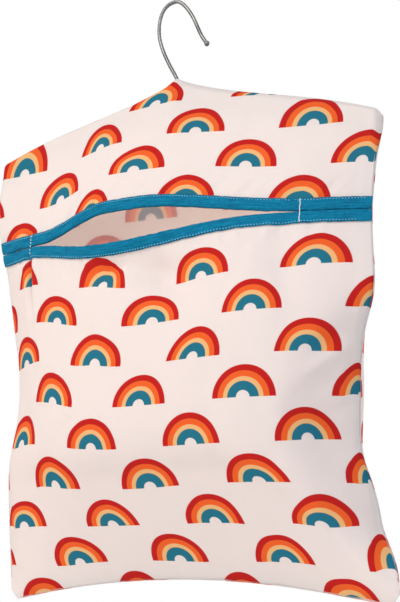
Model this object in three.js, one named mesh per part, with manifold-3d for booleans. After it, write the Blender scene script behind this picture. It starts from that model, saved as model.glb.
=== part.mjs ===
// Peg bag: a sewn cotton bag hung on a wooden hanger with a swivelling wire hook.
// The front is cut across into a yoke and a pocket. Their edges are bound with folded tape and
// stay open between two tacks, which makes the mouth that a hand reaches in through.
// Millimetres, +Z up, front towards -Y. The origin is under the hook's crown, where it bears on a line.
import * as THREE from "three";
import { mergeVertices } from "three/addons/utils/BufferGeometryUtils.js";
import Module from "manifold-3d";

const wasm = await Module();
wasm.setup();

// Driving dimensions of the bag. Depths are measured down from the shoulder peak.
const BAG_WIDTH = 306; // side seam to side seam at the shoulders
const BAG_HEIGHT = 390; // shoulder peak to the bottom corners
const FRONT_BULGE = 46; // how far the filled front stands out
const BACK_BULGE = 30;
const SIDE_DRAW = 11; // how far the filled bag draws in its side seams
const LEFT_WAIST = 0.5; // where it draws them in most, as shares of their length
const RIGHT_WAIST = 0.65;
const FOOT = 10; // how far its left side spreads again below the waist
const LEAN = -8; // how far its belly hangs to one side
const SWING = 14; // how far its bottom seam hangs behind its shoulders
const TURN = -8; // how far its belly is turned under the hanger, in degrees
const BOTTOM_LIFT = 17; // how far the filled bag lifts the middle of its bottom seam
const CORNER_RADIUS = 9;
const CLOTH = 0.8; // thickness of a panel with its turned and sewn edges

// The mouth
const MOUTH_DEPTH = 121;
const LEFT_TACK = -0.773; // tacks, as shares of the bag's half width
const RIGHT_TACK = 0.707;
const MOUTH_RISE = 15; // the yoke's edge above the mouth line, where the mouth is widest
const MOUTH_SAG = 8; // the pocket's edge below it
const YOKE_ARCH = { rises: [0.07, 0.33], falls: [0.42, 1] }; // places from the left tack to the right one
const POCKET_SAG = { rises: [0, 0.3], falls: [0.36, 0.85] };
const MOUTH_LIP = 3; // how far the pocket's edge hangs forward of the yoke's

// Binding tape, thread and seams
const TAPE_WIDTH = 9;
const TAPE = 0.8; // thickness of one leaf of the folded tape
const SEAT = 0.3; // gap left between pieces that touch
const THREAD = 0.5;
const TACK_LENGTH = 15;
const SEAM_ALLOWANCE = 8;
const SEAM_PLIES = 1.2; // both panels' allowances, overlocked together
const SEAM_SLOT = SEAM_PLIES / 2 + CLOTH; // half the space between the front and back edges

// The wooden hanger
const HANGER_REACH = 148; // centre to end
const HANGER_THICKNESS = 12;
const HANGER_END_RADIUS = 11;
const HANGER_NECK = 17; // extra height of the bar at its neck
const HANGER_NECK_SPREAD = 46;
const HANGER_EDGE_ROUND = 2.5;
const HANGER_COVER = 3.1; // shoulder cloth and seam above the wood
const HANGER_ROOM = 7; // half the width of the cloth where it covers the wood

// The hook
const WIRE = 3;
const HOOK_HEIGHT = 63.5; // shoulder peak to the middle of the wire at the crown
const HOOK_TIP = 4.4; // diameter of the rounded tip
const STEM_BORE = 3.7;
const HEAD_DIAMETER = 7.2; // the riveted head that keeps the stem in the wood
const HEAD_HEIGHT = 2;
const WASHER = { inside: 3.9, outside: 12, height: 1.2 };
const COUNTERBORE = { diameter: 13.6, depth: 13 };

const HALF_WIDTH = BAG_WIDTH / 2;
const HOOK_RISE = HOOK_HEIGHT - WIRE / 2;
const LEFT = -1;
const RIGHT = 1;
const FRONT = -1;
const BACK = 1;

const finish = (color, roughness, metalness = 0) => new THREE.MeshStandardMaterial({ color, roughness, metalness });
const cotton = finish(0xf3e9e4, 0.9);
const teal = finish(0x0e7fa6, 0.85);
const whiteThread = finish(0xf2f2ee, 0.7);
const tealThread = finish(0x3f97b4, 0.7);
const steel = finish(0x9a9894, 0.3, 1);
const wood = finish(0xd9b98a, 0.6);

// Form of the filled bag

// Height of a round of the given radius, at a distance in from where it starts.
function quarterRound(distance, radius) {
  if (distance >= radius) return 1;
  return Math.sqrt(1 - (1 - Math.max(distance, 0) / radius) ** 2);
}

// How much a round corner takes off an edge, at a distance x from the centre line.
function cornerCut(x, halfWidth) {
  const into = Math.max(0, Math.abs(x) - (halfWidth - CORNER_RADIUS));
  return CORNER_RADIUS - Math.sqrt(CORNER_RADIUS ** 2 - into ** 2);
}

// A hanger's shoulder: steep at the neck, flatter along the arm, and dropping again at the end.
function shoulderDrop(x) {
  const [neck, arm, end] = [68, -64, 44];
  const t = Math.abs(x) / HALF_WIDTH;
  return neck * t + arm * t ** 2 + end * t ** 3;
}

const topDepth = (u) => shoulderDrop(u * HALF_WIDTH) + cornerCut(u * HALF_WIDTH, HALF_WIDTH);
const lowDepth = (u) => BAG_HEIGHT - BOTTOM_LIFT * (1 - u ** 2) - cornerCut(u * HALF_WIDTH, HALF_WIDTH);

// Places a point of the bag. The side seams hang straight from the hanger's ends. Half way down,
// the filled bag draws them in, leans to one side and turns a little under its hanger. Its bottom
// hangs behind its shoulders, because the front is the fuller side.
function hang(u, forward, depth) {
  const start = shoulderDrop(HALF_WIDTH);
  const fall = THREE.MathUtils.clamp((depth - start) / (BAG_HEIGHT - start), 0, 1);
  const waist = THREE.MathUtils.mapLinear(u, LEFT, RIGHT, LEFT_WAIST, RIGHT_WAIST);
  const drawn = Math.sin(Math.PI * fall ** (Math.log(0.5) / Math.log(waist))) ** 3;
  const spread = FOOT * ((1 - u) / 2) ** 2 * THREE.MathUtils.smoothstep(fall, 0.54, 0.72);
  const x = u * (HALF_WIDTH - SIDE_DRAW * drawn) - spread;
  const turn = THREE.MathUtils.degToRad(TURN) * THREE.MathUtils.smoothstep(fall, 0.08, 0.5);
  const lean = LEAN * Math.sin(0.65 * Math.PI * fall);
  const swing = SWING * THREE.MathUtils.smoothstep(fall, 0.5, 1);
  return new THREE.Vector3(
    x * Math.cos(turn) - forward * Math.sin(turn) + lean,
    x * Math.sin(turn) + forward * Math.cos(turn) + swing,
    -HOOK_RISE - depth,
  );
}

// How full the bag is: 0 at the shoulders, 1 a little under half way up, and 0 again at the bottom.
function fullness(fall) {
  const [upper, lower] = [1.1, 0.75];
  const peak = upper / (upper + lower);
  const q = THREE.MathUtils.clamp(fall, 0, 1);
  return (q / peak) ** upper * ((1 - q) / (1 - peak)) ** lower;
}

// How far an edge of the mouth stands off the line between the tacks, from 0 up to 1.
function mouthOpening(u, { rises, falls }) {
  const p = (u - LEFT_TACK) / (RIGHT_TACK - LEFT_TACK);
  return THREE.MathUtils.smoothstep(p, ...rises) * (1 - THREE.MathUtils.smoothstep(p, ...falls));
}

const TAPE_FOLD = TAPE + SEAT; // how far the folded tape stands past the edge that it binds
const MOUTH_BUTT = TAPE_FOLD + SEAT / 2;
const yokeEdge = (u) => MOUTH_DEPTH - MOUTH_BUTT - MOUTH_RISE * mouthOpening(u, YOKE_ARCH);
const pocketEdge = (u) => MOUTH_DEPTH + MOUTH_BUTT + MOUTH_SAG * mouthOpening(u, POCKET_SAG);

// A point on the outside of the bag: u runs from the left seam at -1 to the right seam at 1.
function bagPoint(side, u, depth) {
  const below = depth - topDepth(u);
  const fall = below / (lowDepth(u) - topDepth(u));
  const edge = quarterRound((1 - Math.abs(u)) * HALF_WIDTH, HANGER_ROOM);
  const overWood = HANGER_ROOM * quarterRound(below, HANGER_ROOM) * edge * Math.sqrt(Math.max(0, 1 - fall));
  const bulge = (side === FRONT ? FRONT_BULGE : BACK_BULGE) * fullness(fall) * (1 - Math.abs(u) ** 3);
  const hookGap = 2.6 * Math.exp(-(((u * HALF_WIDTH) / 7) ** 2) - below / 3);
  const lipFade = 24;
  const lip = side === FRONT && depth > MOUTH_DEPTH
    ? MOUTH_LIP * mouthOpening(u, POCKET_SAG) * Math.exp(-(depth - pocketEdge(u)) / lipFade)
    : 0;
  const out = SEAM_SLOT + overWood + bulge + hookGap + lip;
  return hang(u, side * out, depth);
}

// Directions on the bag at a point: along the cloth to the right, down the cloth, and out of the bag.
function bagFrame(side, u, depth) {
  const step = 0.004;
  const inside = THREE.MathUtils.clamp(u, -1 + step, 1 - step);
  const across = bagPoint(side, inside + step, depth).sub(bagPoint(side, inside - step, depth)).normalize();
  const down = bagPoint(side, u, depth + 0.4).sub(bagPoint(side, u, depth - 0.4)).normalize();
  const out = new THREE.Vector3().crossVectors(across, down).multiplyScalar(side).normalize();
  return { across, down, out };
}

// Solids from rings of points

// Joins equal rings of points into one closed solid. Each ring runs round, and the ends are capped.
function loft(rings) {
  const count = rings[0].length;
  const position = rings.flat().flatMap((p) => p.toArray());
  const index = [];
  for (let r = 0; r + 1 < rings.length; r++) {
    for (let i = 0; i < count; i++) {
      const [a, b] = [r * count + i, r * count + ((i + 1) % count)];
      index.push(a, b, b + count, a, b + count, a + count);
    }
  }
  const last = (rings.length - 1) * count;
  const outline = flatten(rings[0]);
  for (const [a, b, c] of THREE.ShapeUtils.triangulateShape(outline, [])) {
    index.push(a, c, b, last + a, last + b, last + c);
  }
  return facingOut(position, index);
}

// A planar ring of points as a 2-D outline, for capping it.
function flatten(ring) {
  const normal = new THREE.Vector3();
  ring.forEach((p, i) => normal.add(new THREE.Vector3().crossVectors(p, ring[(i + 1) % ring.length])));
  normal.normalize();
  const a = new THREE.Vector3().subVectors(ring[1], ring[0]).normalize();
  const b = new THREE.Vector3().crossVectors(normal, a);
  return ring.map((p) => new THREE.Vector2(p.dot(a), p.dot(b)));
}

// A geometry whose faces point outwards, whichever way its rings ran.
function facingOut(position, index) {
  const corner = (i) => new THREE.Vector3().fromArray(position, 3 * index[i]);
  let volume = 0;
  for (let i = 0; i < index.length; i += 3) volume += corner(i).dot(corner(i + 1).cross(corner(i + 2)));
  if (volume < 0) index.reverse();
  const geometry = new THREE.BufferGeometry();
  geometry.setAttribute("position", new THREE.Float32BufferAttribute(position, 3));
  return geometry.setIndex(index);
}

// A section of [along, out] points swept over stations that each have an origin and two directions.
function sweep(stations, section) {
  return loft(stations.map(({ origin, along, out }) =>
    section.map(([s, t]) => origin.clone().addScaledVector(along, s).addScaledVector(out, t))));
}

const rectangle = (s0, s1, t0, t1) => [[s0, t0], [s1, t0], [s1, t1], [s0, t1]];

function roundSection(diameter, sides) {
  return Array.from({ length: sides }, (_, i) => {
    const angle = (2 * Math.PI * i) / sides;
    return [(diameter / 2) * Math.cos(angle), (diameter / 2) * Math.sin(angle)];
  });
}

const steps = (from, to, count) => Array.from({ length: count + 1 }, (_, i) => from + ((to - from) * i) / count);

// Closer together towards both ends, as a round edge needs.
const crowded = (count) => steps(0, Math.PI, count).map((a) => (1 - Math.cos(a)) / 2);

// A cloth panel: the bag's outer surface over rows of depths, made thick towards the inside.
function panel(side, across, rows) {
  const outer = [];
  const inner = [];
  for (const u of across) {
    for (const row of rows) {
      const p = bagPoint(side, u, row(u));
      outer.push(p);
      inner.push(p.clone().addScaledVector(bagFrame(side, u, row(u)).out, -CLOTH));
    }
  }
  const columns = across.length - 1;
  const stride = rows.length;
  const lift = outer.length;
  const index = [];
  const quad = (a, b, c, d) => index.push(a, b, c, a, c, d);
  for (let c = 0; c < columns; c++) {
    for (let r = 0; r + 1 < stride; r++) {
      const a = c * stride + r;
      quad(a, a + 1, a + stride + 1, a + stride);
      quad(lift + a, lift + a + stride, lift + a + stride + 1, lift + a + 1);
    }
  }
  const rim = (a, b) => quad(b, a, lift + a, lift + b);
  for (let c = 0; c < columns; c++) {
    rim((c + 1) * stride, c * stride);
    rim(c * stride + stride - 1, (c + 2) * stride - 1);
  }
  for (let r = 0; r + 1 < stride; r++) {
    rim(r, r + 1);
    rim(columns * stride + r + 1, columns * stride + r);
  }
  return facingOut([...outer, ...inner].flatMap((p) => p.toArray()), index);
}

// Boolean work

function solid(geometry) {
  const bare = geometry.clone();
  bare.deleteAttribute("normal");
  bare.deleteAttribute("uv");
  const merged = mergeVertices(bare, 1e-4);
  const vertProperties = new Float32Array(merged.attributes.position.array);
  const triVerts = new Uint32Array(merged.index.array);
  return new wasm.Manifold(new wasm.Mesh({ numProp: 3, vertProperties, triVerts }));
}

function geometryOf(manifold) {
  const { vertProperties, triVerts } = manifold.getMesh();
  const geometry = new THREE.BufferGeometry();
  geometry.setAttribute("position", new THREE.Float32BufferAttribute(vertProperties, 3));
  return geometry.setIndex([...triVerts]);
}

// A cylinder standing on the hook's axis between two heights.
function postBetween(diameter, low, high, sides = 24) {
  const post = new THREE.CylinderGeometry(diameter / 2, diameter / 2, high - low, sides);
  return post.rotateX(Math.PI / 2).translate(0, 0, (low + high) / 2);
}

// Hanger and hook

const hangerTop = (x) => -HOOK_RISE - HANGER_COVER - shoulderDrop(x);
const hangerHeight = (x) =>
  2 * HANGER_END_RADIUS + HANGER_NECK * Math.exp(-((x / HANGER_NECK_SPREAD) ** 2));
const neckUnderside = hangerTop(0) - hangerHeight(0);
const boreShoulder = neckUnderside + COUNTERBORE.depth;

// One bow of wood with rounded edges, bored for the hook's stem.
function hangerBar() {
  const reach = HANGER_REACH - HANGER_END_RADIUS;
  const endCentre = hangerTop(reach) - HANGER_END_RADIUS;
  const samples = steps(-reach, reach, 26);
  const outline = new THREE.Shape();
  outline.setFromPoints(samples.map((x) => new THREE.Vector2(x, hangerTop(x))));
  outline.absarc(reach, endCentre, HANGER_END_RADIUS, Math.PI / 2, -Math.PI / 2, true);
  samples.reverse().forEach((x) => outline.lineTo(x, hangerTop(x) - hangerHeight(x)));
  outline.absarc(-reach, endCentre, HANGER_END_RADIUS, -Math.PI / 2, -1.5 * Math.PI, true);
  const bar = new THREE.ExtrudeGeometry(outline, {
    depth: HANGER_THICKNESS - 2 * HANGER_EDGE_ROUND,
    bevelSize: HANGER_EDGE_ROUND,
    bevelThickness: HANGER_EDGE_ROUND,
    bevelOffset: -HANGER_EDGE_ROUND,
    bevelSegments: 2,
    curveSegments: 8,
  });
  bar.rotateX(Math.PI / 2).translate(0, HANGER_THICKNESS / 2 - HANGER_EDGE_ROUND, 0);
  const bore = postBetween(STEM_BORE, neckUnderside - 1, hangerTop(0) + 1);
  const pocket = postBetween(COUNTERBORE.diameter, neckUnderside - 1, boreShoulder);
  return geometryOf(solid(bar).subtract(solid(bore)).subtract(solid(pocket)));
}

const washerTop = boreShoulder - SEAT;
const headTop = washerTop - WASHER.height - SEAT;

// The wire's middle line: up the stem, out to the left, over the crown and down to the tip.
function hookLine() {
  const at = (x, rise) => new THREE.Vector3(x, 0, rise - HOOK_RISE);
  const line = new THREE.CurvePath();
  const bend = (a, b, c, d) => line.add(new THREE.CubicBezierCurve3(at(...a), at(...b), at(...c), at(...d)));
  const crown = HOOK_HEIGHT;
  line.add(new THREE.LineCurve3(new THREE.Vector3(0, 0, headTop - HEAD_HEIGHT / 2), at(0, -5)));
  bend([0, -5], [0, 1], [-4.1, 7], [-6.6, 12.5]);
  bend([-6.6, 12.5], [-10.5, 21.1], [-14.7, 31.2], [-14.7, 40.7]);
  bend([-14.7, 40.7], [-14.7, 54], [-9.6, crown], [0, crown]);
  bend([0, crown], [5.5, crown], [11.7, 52.7], [14.3, 46.8]);
  bend([14.3, 46.8], [16.7, 41.3], [18.7, 34.5], [21.2, 30.2]);
  bend([21.2, 30.2], [22.2, 28.5], [23.1, 26.8], [24.3, 25.2]);
  return line;
}

function hookWire() {
  const sides = 12;
  const section = new THREE.Shape();
  section.setFromPoints(roundSection(WIRE, sides).map(([x, y]) => new THREE.Vector2(x, y)));
  const line = hookLine();
  const wire = new THREE.ExtrudeGeometry(section, { extrudePath: line, steps: 64 });
  const tip = new THREE.SphereGeometry(HOOK_TIP / 2, sides, 8).translate(...line.getPoint(1).toArray());
  const head = postBetween(HEAD_DIAMETER, headTop - HEAD_HEIGHT, headTop);
  return geometryOf(solid(wire).add(solid(tip)).add(solid(head)));
}

function hookWasher() {
  const ring = [
    [WASHER.inside / 2, washerTop - WASHER.height],
    [WASHER.outside / 2, washerTop - WASHER.height],
    [WASHER.outside / 2, washerTop],
    [WASHER.inside / 2, washerTop],
  ];
  const profile = [...ring, ring[0]].map(([r, z]) => new THREE.Vector2(r, z));
  return new THREE.LatheGeometry(profile, 24).rotateX(Math.PI / 2);
}

// Panels

// Columns from seam to seam and rows from edge to edge, closer together at the seams.
const fromSeamToSeam = (count) => crowded(count).map((c) => 2 * c - 1);
const rowsBetween = (from, to, shares) => shares.map((r) => (u) => from(u) + (to(u) - from(u)) * r);
const frontColumns = fromSeamToSeam(32);
const backColumns = fromSeamToSeam(24);
const quarterTurn = (count) => steps(0, Math.PI / 2, count);

// The tape lies flat on a straight band of cloth along the mouth.
const TAPE_BAND = TAPE_WIDTH + 1.5;
const yokeBand = (u) => yokeEdge(u) - TAPE_BAND;
const pocketBand = (u) => pocketEdge(u) + TAPE_BAND;

function frontYoke() {
  const shares = quarterTurn(9).map((a) => 1 - Math.cos(a));
  return panel(FRONT, frontColumns, [...rowsBetween(topDepth, yokeBand, shares), yokeEdge]);
}

function frontPocket() {
  const shares = quarterTurn(16).map((a) => Math.sin(a));
  return panel(FRONT, frontColumns, [pocketEdge, ...rowsBetween(pocketBand, lowDepth, shares)]);
}

const backPanel = () => panel(BACK, backColumns, rowsBetween(topDepth, lowDepth, crowded(20)));

// Mouth binding: tape folded over a panel's edge, with a leaf on each side of the cloth.
// It runs to the side seams, where its ends are caught.
const tapeColumns = frontColumns.slice(2, -2);

function tapeStation(u, edge, band) {
  const origin = bagPoint(FRONT, u, edge(u));
  const along = bagPoint(FRONT, u, band(u)).sub(origin).normalize();
  const { out } = bagFrame(FRONT, u, edge(u));
  return { origin, along, out };
}

function tapeSection() {
  const inside = CLOTH / 2 + SEAT;
  const outside = inside + TAPE;
  const fold = -TAPE_FOLD;
  const leaf = TAPE_WIDTH - TAPE_FOLD;
  return [
    [leaf, outside], [0, outside], [fold, inside], [fold, -inside], [0, -outside], [leaf, -outside],
    [leaf, -inside], [-SEAT, -inside], [-SEAT, inside], [leaf, inside],
  ];
}

function binding(edge, band) {
  const stations = tapeColumns.map((u) => tapeStation(u, edge, band));
  stations.forEach(({ origin, out }) => origin.addScaledVector(out, -CLOTH / 2));
  return sweep(stations, tapeSection());
}

// The row of stitches that holds the tape down, near the edge of its outer leaf.
function stitchRow(edge, band) {
  const inset = TAPE_WIDTH - TAPE_FOLD - 1;
  const lift = SEAT + TAPE + SEAT + THREAD / 2;
  const stations = tapeColumns.map((u) => tapeStation(u, edge, band));
  const section = roundSection(THREAD, 6).map(([s, t]) => [inset + s, lift + t]);
  return sweep(stations, section);
}

// A tack across both tapes, sewn through them at the end of the mouth.
function mouthTack(hand) {
  const u = hand === LEFT ? LEFT_TACK : RIGHT_TACK;
  const lift = SEAT + TAPE + SEAT;
  const stations = steps(-TACK_LENGTH / 2, TACK_LENGTH / 2, 4).map((offset) => {
    const { across, out } = bagFrame(FRONT, u, MOUTH_DEPTH + offset);
    return { origin: bagPoint(FRONT, u, MOUTH_DEPTH + offset), along: across, out };
  });
  return sweep(stations, rectangle(-THREAD, THREAD, lift, lift + THREAD));
}

// Seams: the two panels' allowances, sewn and overlocked together and turned into the bag.

const SEAM_FLUSH = 0.4;

function sideSeam(hand) {
  const top = topDepth(1) + 2 * HANGER_END_RADIUS + 8;
  const bottom = lowDepth(1) - SEAM_ALLOWANCE - 4;
  const stations = steps(top, bottom, 28).map((depth) => ({
    origin: hang(hand, 0, depth),
    along: new THREE.Vector3(-hand, 0, 0),
    out: new THREE.Vector3(0, 1, 0),
  }));
  return sweep(stations, rectangle(SEAM_FLUSH, SEAM_ALLOWANCE, -SEAM_PLIES / 2, SEAM_PLIES / 2));
}

function bottomSeam() {
  const reach = 1 - CORNER_RADIUS / HALF_WIDTH;
  const stations = steps(-reach, reach, 20).map((u) => ({
    origin: hang(u, 0, lowDepth(u)),
    along: new THREE.Vector3(0, 0, 1),
    out: new THREE.Vector3(0, 1, 0),
  }));
  return sweep(stations, rectangle(SEAM_FLUSH, SEAM_ALLOWANCE, -SEAM_PLIES / 2, SEAM_PLIES / 2));
}

// Over the wood the allowances are trimmed short and pressed open.
function shoulderSeam(hand) {
  const [stem, flat, spread] = [1.7, 2.6, 2.4];
  const section = [
    [SEAM_FLUSH, -SEAM_PLIES / 2], [stem, -SEAM_PLIES / 2], [stem, -spread], [flat, -spread],
    [flat, spread], [stem, spread], [stem, SEAM_PLIES / 2], [SEAM_FLUSH, SEAM_PLIES / 2],
  ];
  const stations = steps(9, HANGER_REACH - HANGER_END_RADIUS, 14).map((x) => ({
    origin: new THREE.Vector3(hand * x, 0, -HOOK_RISE - shoulderDrop(x)),
    along: new THREE.Vector3(0, 0, -1),
    out: new THREE.Vector3(0, 1, 0),
  }));
  return sweep(stations, section);
}

// Assembly

const bag = new THREE.Group();

function place(name, geometry, material) {
  const mesh = new THREE.Mesh(geometry, material);
  mesh.name = name;
  bag.add(mesh);
}

place("hook_wire", hookWire(), steel);
place("hook_washer", hookWasher(), steel);
place("hanger_bar", hangerBar(), wood);
place("back_panel", backPanel(), cotton);
place("front_yoke", frontYoke(), cotton);
place("front_pocket", frontPocket(), cotton);
place("upper_mouth_binding", binding(yokeEdge, yokeBand), teal);
place("lower_mouth_binding", binding(pocketEdge, pocketBand), teal);
place("upper_binding_stitching", stitchRow(yokeEdge, yokeBand), tealThread);
place("lower_binding_stitching", stitchRow(pocketEdge, pocketBand), tealThread);
for (const [side, hand] of [["left", LEFT], ["right", RIGHT]]) {
  place(`${side}_mouth_tack`, mouthTack(hand), whiteThread);
  place(`${side}_side_seam`, sideSeam(hand), cotton);
  place(`${side}_shoulder_seam`, shoulderSeam(hand), cotton);
}
place("bottom_seam", bottomSeam(), cotton);

export default bag;
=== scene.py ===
import math

import bmesh
import bpy
import numpy as np
from mathutils import Matrix, Vector, noise


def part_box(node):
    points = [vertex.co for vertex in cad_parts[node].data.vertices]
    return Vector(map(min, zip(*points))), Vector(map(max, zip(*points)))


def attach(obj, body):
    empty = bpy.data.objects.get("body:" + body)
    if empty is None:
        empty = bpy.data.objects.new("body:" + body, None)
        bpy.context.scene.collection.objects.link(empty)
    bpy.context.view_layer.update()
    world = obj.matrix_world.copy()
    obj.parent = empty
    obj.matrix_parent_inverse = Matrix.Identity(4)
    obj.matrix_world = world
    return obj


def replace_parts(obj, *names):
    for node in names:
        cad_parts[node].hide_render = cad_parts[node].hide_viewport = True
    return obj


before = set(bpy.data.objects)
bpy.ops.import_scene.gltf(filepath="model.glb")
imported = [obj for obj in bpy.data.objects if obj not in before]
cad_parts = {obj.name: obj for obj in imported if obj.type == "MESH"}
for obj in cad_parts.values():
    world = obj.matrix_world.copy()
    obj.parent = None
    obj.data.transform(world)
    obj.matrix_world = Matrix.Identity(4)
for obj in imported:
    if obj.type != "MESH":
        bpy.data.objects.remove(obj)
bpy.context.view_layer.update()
scene = bpy.context.scene


# Hook: 3 mm bright steel wire, bent cold over a former and dressed to a ball at its tip.
# Its stem runs down through the hanger's neck, where the end is riveted over a washer.
SHOULDER_PEAK = -0.062  # height of the cloth's peak, below the underside of the hook's crown
WIRE = 0.003
HOOK_TIP = 0.0044
STEM_HANDLE = 0.01
RIVET, RIVET_HIGH, RIVET_ROUND = 0.0072, 0.002, 0.0006
HOOK_BENDS = [  # handle in, point and handle out along the wire, in millimetres from the peak
    ((0, -14), (0, -5), (0, 1)),
    ((-4.1, 7), (-6.6, 12.5), (-10.5, 21.1)),
    ((-14.7, 31.2), (-14.7, 40.7), (-14.7, 54)),
    ((-9.6, 63.5), (0, 63.5), (5.5, 63.5)),
    ((11.7, 52.7), (14.3, 46.8), (16.7, 41.3)),
    ((18.7, 34.5), (21.2, 30.2), (22.2, 28.5)),
    ((23.1, 26.8), (24.3, 25.2), (25, 24.3)),
]
# The steel's colour runs between a dark and a pale grey in broad patches: painted reflections of a room's
# dark and bright areas.
STEEL_IN_DARK_REFLECTION, STEEL_IN_BRIGHT_REFLECTION = (0.07, 0.07, 0.07), (0.22, 0.217, 0.212)


class Shade:
    """A value on a material's sockets. Python's operators on it add Math nodes to the material."""

    def __init__(self, tree, socket=None):
        self.tree = tree
        self.socket = socket

    def add(self, kind, settings=None, inputs=None, output=0):
        node = self.tree.nodes.new(kind)
        for name, value in (settings or {}).items():
            if name == "stops":
                ramp = node.color_ramp
                while len(ramp.elements) < len(value):
                    ramp.elements.new(0.5)
                for element, (place, colour) in zip(ramp.elements, value):
                    element.position = place
                    element.color = (*colour, 1)
            else:
                setattr(node, name, value)
        for name, value in (inputs or {}).items():
            if isinstance(value, Shade):
                self.tree.links.new(value.socket, node.inputs[name])
            else:
                node.inputs[name].default_value = value
        return Shade(self.tree, node.outputs[output])

    def math(self, operation, *values):
        return self.add("ShaderNodeMath", {"operation": operation}, dict(enumerate(values)))

    def mix(self, share, first, second):
        colours = [c if isinstance(c, Shade) else (*c, 1) for c in (first, second)]
        return self.add("ShaderNodeMix", {"data_type": "RGBA"}, {0: share, 6: colours[0], 7: colours[1]}, 2)

    def part(self, axis):
        return self.add("ShaderNodeSeparateXYZ", None, {0: self}, axis)

    def stretched(self, *scale):
        return self.add("ShaderNodeMapping", None, {0: self, 3: scale})

    def noise(self, place, scale, detail=2.0):
        return self.add("ShaderNodeTexNoise", None, {"Vector": place, "Scale": scale, "Detail": detail})

    def bump(self, strength, distance, height):
        inputs = {"Strength": strength, "Distance": distance, "Height": height}
        return self.add("ShaderNodeBump", None, inputs)

    def __add__(self, other):
        return self.math("ADD", self, other)

    def __radd__(self, other):
        return self.math("ADD", other, self)

    def __sub__(self, other):
        return self.math("SUBTRACT", self, other)

    def __rsub__(self, other):
        return self.math("SUBTRACT", other, self)

    def __mul__(self, other):
        return self.math("MULTIPLY", self, other)

    def __rmul__(self, other):
        return self.math("MULTIPLY", other, self)

    def __truediv__(self, other):
        return self.math("DIVIDE", self, other)

    def __mod__(self, other):
        return self.math("FLOORED_MODULO", self, other)


def new_finish(name, **constants):
    """A material, its node tree to add to, and a function that feeds the shader's sockets."""
    made = bpy.data.materials.new(name)
    made.use_nodes = True
    shader = made.node_tree.nodes["Principled BSDF"]
    for socket, value in constants.items():
        shader.inputs[socket.replace("_", " ")].default_value = value

    def feed(**links):
        for socket, value in links.items():
            made.node_tree.links.new(value.socket, shader.inputs[socket.replace("_", " ")])

    return made, Shade(made.node_tree), feed


def new_piece(name, bm, finishes, body):
    mesh = bpy.data.meshes.new(name)
    bm.to_mesh(mesh)
    bm.free()
    for polygon in mesh.polygons:
        polygon.use_smooth = True
    for made in finishes:
        mesh.materials.append(made)
    piece = bpy.data.objects.new(name, mesh)
    scene.collection.objects.link(piece)
    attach(piece, body)
    return piece


def from_peak(x, rise):
    return Vector((x / 1000, 0, SHOULDER_PEAK + rise / 1000))


def bright_steel():
    made, shade, feed = new_finish("bright_steel", Metallic=1.0)
    place = shade.add("ShaderNodeTexCoord", output=3)
    # Broad dark and pale patches in the base colour are painted reflections, not marks on the steel.
    painted_reflections = shade.noise(place, 55.0)
    worn = shade.noise(place, 90.0)
    steel = shade.mix(painted_reflections * 2.5 - 0.75, STEEL_IN_DARK_REFLECTION, STEEL_IN_BRIGHT_REFLECTION)
    feed(Base_Color=steel, Roughness=0.26 + worn * 0.12)
    return made


stem_end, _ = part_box("hook_wire")
rivet_middle = Vector((0, 0, stem_end.z + RIVET_HIGH / 2))
line = bpy.data.curves.new("hook_line", "CURVE")
line.dimensions = "3D"
line.bevel_depth = WIRE / 2
line.bevel_resolution = 5
line.resolution_u = 20
spline = line.splines.new("BEZIER")
spline.bezier_points.add(len(HOOK_BENDS))
spline.bezier_points[0].co = rivet_middle
spline.bezier_points[0].handle_left = (0, 0, stem_end.z)
spline.bezier_points[0].handle_right = (0, 0, stem_end.z + STEM_HANDLE)
for point, (handle_in, at, handle_out) in zip(spline.bezier_points[1:], HOOK_BENDS):
    point.handle_left = from_peak(*handle_in)
    point.co = from_peak(*at)
    point.handle_right = from_peak(*handle_out)
line_object = bpy.data.objects.new("hook_line", line)
scene.collection.objects.link(line_object)
drawn_line = line_object.evaluated_get(bpy.context.evaluated_depsgraph_get())
drawn_wire = bpy.data.meshes.new_from_object(drawn_line)
bpy.data.objects.remove(line_object)
bm = bmesh.new()
bm.from_mesh(drawn_wire)
bpy.data.meshes.remove(drawn_wire)
tip_at = Matrix.Translation(from_peak(*HOOK_BENDS[-1][1]))
bmesh.ops.create_uvsphere(bm, u_segments=20, v_segments=12, radius=HOOK_TIP / 2, matrix=tip_at)
rivet = bmesh.ops.create_cone(
    bm, cap_ends=True, segments=24, radius1=RIVET / 2, radius2=RIVET / 2, depth=RIVET_HIGH,
    matrix=Matrix.Translation(rivet_middle),
)
edges = {edge for vert in rivet["verts"] for edge in vert.link_edges}
rims = {edge for edge in edges if abs(edge.verts[0].co.z - edge.verts[1].co.z) < 1e-6}
bmesh.ops.bevel(
    bm, geom=list(rims), offset=RIVET_ROUND, segments=2, profile=0.5, affect="EDGES", material=-1
)
hook_steel = bright_steel()
hook = new_piece("hook", bm, [hook_steel], "hook")
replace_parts(hook, "hook_wire")


# Washer: a plain stamped steel ring between the rivet and the wood, in a counterbore under the neck.
# It carries the bag's weight and lets the hook turn.
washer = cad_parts["hook_washer"]
washer.data.materials.clear()
washer.data.materials.append(hook_steel)


# Hanger: one bow sawn from a beech board with its edges rounded, and finished with clear varnish.
# Its neck is bored for the hook, and its arms carry the bag's shoulders from the inside.
BEECH, BEECH_RING, BEECH_FLECK = (0.66, 0.45, 0.25), (0.53, 0.33, 0.17), (0.34, 0.19, 0.09)


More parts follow.
